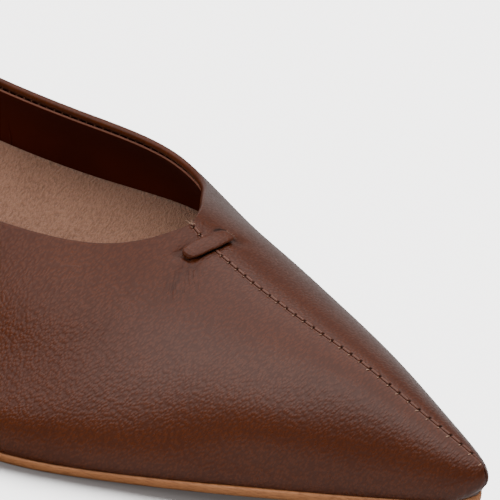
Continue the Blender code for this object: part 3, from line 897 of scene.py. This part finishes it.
def nappa(name, grain=1.0):
    """Brown nappa: small domed pebbles drawn out down the wall, cloudy dye, and a soft waxed sheen, with painted
    shade and a painted highlight from the upper's marks.
    """
    f = Finish(name, Specular_IOR_Level=0.23, Coat_Roughness=0.28, Coat_IOR=1.5)
    where, forward, outward = f.place(), f.along("X"), f.along("Y")
    drawn = f.place(scale=(1.0, 0.47, 0.47), turn=-0.03, lean=0.38)
    cell = f.node("ShaderNodeTexVoronoi", inputs={"Vector": drawn, "Scale": 2.5, "Randomness": 0.9},
                  output="Distance")
    pebble = 0.80 - cell * 0.70
    wrinkle = f.noise(f.place(scale=(2.3, 0.34, 0.34), turn=0.64), 1.0, 1.0, 0.5)
    cloud = f.noise(where, 0.035, 3.0, 0.55)
    mottle = f.noise(where, 0.28, 3.0, 0.6)
    swell = f.noise(where, 0.11, 2.0, 0.5)
    worn, ridge, slit = f.mark("worn"), f.mark("ridge"), f.mark("slit")

    dye, pale_dye, stain = (0.079, 0.0166, 0.0038), (0.094, 0.0208, 0.0049), (0.064, 0.0134, 0.0031)
    colour = f.mix(f.ramp(cloud, 0.35, 0.68), dye, pale_dye)
    colour = f.mix(f.ramp(mottle, 0.35, 0.75) * 0.30, colour, stain)
    valley, crease_shade = (0.040, 0.0080, 0.0018), (0.036, 0.0070, 0.0016)
    colour = f.mix(f.ramp(pebble, 0.60, 0.36) * (0.48 * grain), colour, valley)
    # painted shade in the troughs of the fine wrinkles under the bar's inner end
    colour = f.mix(f.ramp(wrinkle, 0.56, 0.36) * worn * 0.8, colour, crease_shade)
    ridge_highlight, shadow = (0.235, 0.112, 0.080), (0.005, 0.0014, 0.0006)
    # painted highlight along the seam's raised fold
    colour = f.mix(ridge * 0.75, colour, ridge_highlight)
    # painted shade: the bar's slot, the stitch holes and the hollows round the bar go near black
    colour = f.mix(slit, colour, shadow)

    rough = slit * 0.5 + 0.25 + mottle * 0.06 + f.ramp(pebble, 0.62, 0.30) * 0.10
    polish = f.ramp(forward, 54.0, 76.0) * (1 - f.ramp(outward, -2.0, 10.0))
    height = pebble * (1 - f.ramp(outward, 0.0, 14.0) * 0.7) + mottle * 0.05 + worn * wrinkle * 3.6
    return f.set(Base_Color=colour, Roughness=rough, Coat_Weight=polish * 0.18 * (1 - slit),
                 Normal=f.bump(height, 0.12 * grain, under=f.bump(swell, 0.07 * grain)))


def lining_leather():
    """Thin dark lining, smooth and dry, with the cut edge paler where its fibres show."""
    f = Finish("lining leather", Specular_IOR_Level=0.12)
    where = f.place()
    pores = f.noise(where, 3.2, 3.0, 0.6)
    cloud = f.noise(where, 0.06, 2.0)
    dye, pale_dye = (0.042, 0.0038, 0.0004), (0.058, 0.0064, 0.0010)
    paler_forward, fibres = (0.100, 0.0160, 0.0040), (0.25, 0.100, 0.066)
    colour = f.mix(f.ramp(cloud, 0.3, 0.7), dye, pale_dye)
    # paler towards the toe
    colour = f.mix(f.ramp(f.along("X"), -10.0, 60.0) * 0.5, colour, paler_forward)
    colour = f.mix(f.mark("raw_edge"), colour, fibres)
    return f.set(Base_Color=colour, Roughness=0.62 + pores * 0.12, Normal=f.bump(pores, 0.03))


def suede():
    """Beige suede sock: short nap brushed in patches, so the colour shifts with the lay of the fibres, and painted
    light towards the outer wall.
    """
    f = Finish("beige suede", Specular_IOR_Level=0.12, Sheen_Weight=0.22, Sheen_Roughness=0.5,
               Sheen_Tint=(0.9, 0.75, 0.62))
    where = f.place()
    nap = f.noise(f.place(scale=(1.0, 0.36, 1.0), turn=0.52), 2.5, 2.0, 0.60)
    patch = f.noise(where, 0.085, 4.0, 0.62)
    speck = f.noise(where, 3.4, 2.0, 0.6)
    brushed_down, brushed_up = (0.142, 0.061, 0.036), (0.208, 0.097, 0.061)
    tips, roots, far_wall_light = (0.270, 0.133, 0.085), (0.120, 0.049, 0.027), (0.430, 0.215, 0.130)
    colour = f.mix(f.ramp(patch, 0.32, 0.70), brushed_down, brushed_up)
    colour = f.mix(f.ramp(nap, 0.38, 0.62) * 0.80, colour, tips)
    colour = f.mix(f.ramp(nap, 0.46, 0.30) * 0.60, colour, roots)
    colour = f.mix(f.ramp(speck, 0.50, 0.74) * 0.45, colour, roots)
    # painted light: paler towards the outer side's wall
    colour = f.mix(f.ramp(f.along("Y"), 4.0, 38.0) * 0.30, colour, far_wall_light)
    return f.set(Base_Color=colour, Roughness=0.92, Normal=f.bump(nap * 0.9 + speck * 0.4, 0.62))


def sole_leather():
    """Vegetable-tanned sole: tan, with fine fibre lines along the cut edge and a slight burnish."""
    f = Finish("tan sole leather", Specular_IOR_Level=0.4)
    fibre = f.noise(f.place(scale=(0.5, 0.5, 3.0)), 1.4, 4.0, 0.65)
    cloud = f.noise(f.place(), 0.09, 3.0, 0.6)
    tan, pale_tan, burnt = (0.370, 0.136, 0.047), (0.445, 0.176, 0.066), (0.15, 0.052, 0.016)
    colour = f.mix(f.ramp(cloud, 0.3, 0.7), tan, pale_tan)
    colour = f.mix(f.ramp(fibre, 0.4, 0.75) * 0.6, colour, burnt)
    return f.set(Base_Color=colour, Roughness=0.46 + fibre * 0.15, Normal=f.bump(fibre, 0.05))


def heel_rubber():
    """Dark moulded top piece with a faint matt grain."""
    f = Finish("dark heel rubber", Specular_IOR_Level=0.4)
    grit = f.noise(f.place(), 2.2, 3.0, 0.65)
    colour = f.mix(f.ramp(grit, 0.3, 0.7), (0.035, 0.020, 0.014), (0.055, 0.033, 0.023))
    return f.set(Base_Color=colour, Roughness=0.62 + grit * 0.14, Normal=f.bump(grit, 0.05))


def thread_finish(name, colour):
    """Spun thread: tiny twist marks across a pale fibre colour."""
    f = Finish(name, Specular_IOR_Level=0.08, Sheen_Weight=0.1)
    twist = f.noise(f.place(), 6.0, 2.0, 0.6)
    dark = tuple(c * 0.6 for c in colour)
    return f.set(Base_Color=f.mix(f.ramp(twist, 0.35, 0.7), dark, colour), Roughness=0.75,
                 Normal=f.bump(twist, 0.03))


# ---- camera, floor and light

# Camera: angles in degrees, millimetres from the toe, and the toe's place right of and below the frame's
# middle as shares of its width
AZIMUTH, ELEVATION, ROLL = 38.41, 33.82, 3.28
DISTANCE, LENS, SENSOR = 1040.6, 433.2, 36.0
TOE_RIGHT, TOE_BELOW = 0.46594, 0.48935

# Levels of light: (cosine of the angle from the ceiling or from the wall behind the shoe, share of the gain)
STUDIO = 2.35
CEILING = ((0.0, 0.07), (0.14, 0.06), (0.28, 0.0), (0.42, 0.06), (0.54, 0.37), (0.62, 0.77), (0.80, 0.82),
           (1.0, 1.0))
WALL_BEHIND = ((0.0, 0.0), (0.45, 0.03), (0.75, 0.09), (1.0, 0.11))
WALL_WAY = (-0.60, 0.76, 0.25)
SOFTBOX, FLOOR_WASH = 13.0, 5600.0

# Floor: what it throws back on the shoe, ahead of the middle and behind it, and what is seen
BOUNCE_NEAR, BOUNCE_FAR = (0.022,) * 3, (0.009,) * 3
FLOOR_SHOWN, FLOOR_HAZE = (0.098, 0.092, 0.091), (0.085, 0.074, 0.070)
FLOOR_HALF = 6.0


def set_camera():
    """Long lens from ahead of the toe on the inner side, framed on the toe and vamp."""
    azimuth, elevation, roll = np.radians([AZIMUTH, ELEVATION, ROLL])
    toe = np.array([0.0, 0.0, TOE_SPRING + OUTSOLE_T + GAP])
    back = np.array([np.sin(azimuth) * np.cos(elevation), -np.cos(azimuth) * np.cos(elevation), np.sin(elevation)])
    right = np.array([np.cos(azimuth), np.sin(azimuth), 0.0])
    up = np.cross(back, right)
    right, up = right * np.cos(roll) + up * np.sin(roll), up * np.cos(roll) - right * np.sin(roll)
    width = SENSOR * DISTANCE / LENS        # of the frame, at the toe
    centre = toe + (up * TOE_BELOW - right * TOE_RIGHT) * width + back * DISTANCE
    data = bpy.data.cameras.new("camera")
    data.lens, data.sensor_width = LENS, SENSOR
    data.clip_start, data.clip_end = 0.05, 20.0
    camera = add_object("camera", data)
    turn = Matrix((right.tolist(), up.tolist(), back.tolist())).transposed()
    camera.matrix_world = Matrix.Translation(place(centre).tolist()) @ turn.to_4x4()
    bpy.context.scene.camera = camera


def area_light(name, spot, size, power, colour=(1, 1, 1)):
    """Rectangular lamp at a spot in metres, turned to the shoe's middle."""
    data = bpy.data.lights.new(name, "AREA")
    data.shape, data.energy, data.color = "RECTANGLE", power, colour
    data.size, data.size_y = size
    lamp = add_object(name, data)
    lamp.location = spot
    lamp.rotation_mode = "QUATERNION"
    lamp.rotation_quaternion = Vector(spot).to_track_quat("Z", "Y")
    return lamp


def light_only(lamp, receiver):
    """Keep a lamp's light to one object; everything still casts its shadow."""
    group = bpy.data.collections.new(lamp.name + " lights")
    group.objects.link(receiver)
    lamp.light_linking.receiver_collection = group


def set_world():
    """Soft studio surroundings, from the direction looked in: a bright ceiling, a pale wall behind the shoe,
    and a dark side towards the camera.
    """
    world = bpy.data.worlds.new("studio")
    world.use_nodes = True
    sky = Nodes(world.node_tree)
    look = sky.node("ShaderNodeTexCoord", output="Generated")

    def facing(direction, levels):
        angle = sky.node("ShaderNodeVectorMath", {"operation": "DOT_PRODUCT"}, {0: look, 1: direction}, "Value")
        return sky.node("ShaderNodeFloatCurve", {"levels": levels}, {"Value": angle})
    background = sky.tree.nodes["Background"].inputs
    sky.join((facing((0, 0, 1), CEILING) + facing(WALL_WAY, WALL_BEHIND)) * STUDIO, background["Strength"])
    sky.join((1, 1, 1), background["Color"])
    bpy.context.scene.world = world


def set_stage():
    """Pale floor and studio light. The floor looks paler than the light it throws back, from every side alike."""
    f = Finish("pale floor", Specular_IOR_Level=0.0)
    f.set(Base_Color=f.mix(f.ramp(f.along("Y"), -20.0, 120.0), BOUNCE_NEAR, BOUNCE_FAR), Roughness=1.0)
    shown = f.node("ShaderNodeBsdfPrincipled", inputs={
        "Base Color": FLOOR_SHOWN, "Roughness": 1.0, "Specular IOR Level": 0.0,
        "Emission Color": FLOOR_HAZE, "Emission Strength": 1.0})
    seen = f.node("ShaderNodeLightPath", output="Is Camera Ray")
    both = f.node("ShaderNodeMixShader", inputs={0: seen, 1: Signal(f, f.shader.outputs[0]), 2: shown})
    f.join(both, f.tree.nodes["Material Output"].inputs["Surface"])
    mesh = bpy.data.meshes.new("floor")
    corners = [(x * FLOOR_HALF, y * FLOOR_HALF, 0) for x, y in ((-1, -1), (1, -1), (1, 1), (-1, 1))]
    mesh.from_pydata(corners, [], [(0, 1, 2, 3)])
    mesh.materials.append(f.material)
    floor = add_object("floor", mesh)
    set_world()
    area_light("softbox", (0.0, -1.55, 1.66), (1.9, 1.3), SOFTBOX)
    light_only(area_light("floor wash", (0.30, 1.75, 2.6), (1.7, 1.7), FLOOR_WASH, (0.95, 1.0, 1.0)), floor)


set_camera()
set_stage()
upper = build_outer(nappa("brown nappa"))
build_lining(lining_leather())
outsole = build_sole(sole_leather())
insole = build_sock(suede())
bar = build_bar(nappa("brown nappa, strip", grain=0.8))
build_stitches(thread_finish("pale thread", (0.44, 0.27, 0.19)))
build_ticks(thread_finish("brown thread", (0.42, 0.20, 0.13)))
build_lining_join(lining_leather())
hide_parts("upper")
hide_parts("outsole")
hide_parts("insole")
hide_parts("keeper_bar")
for material_slot in bpy.data.objects["heel"].material_slots:
    material_slot.material = heel_rubber()
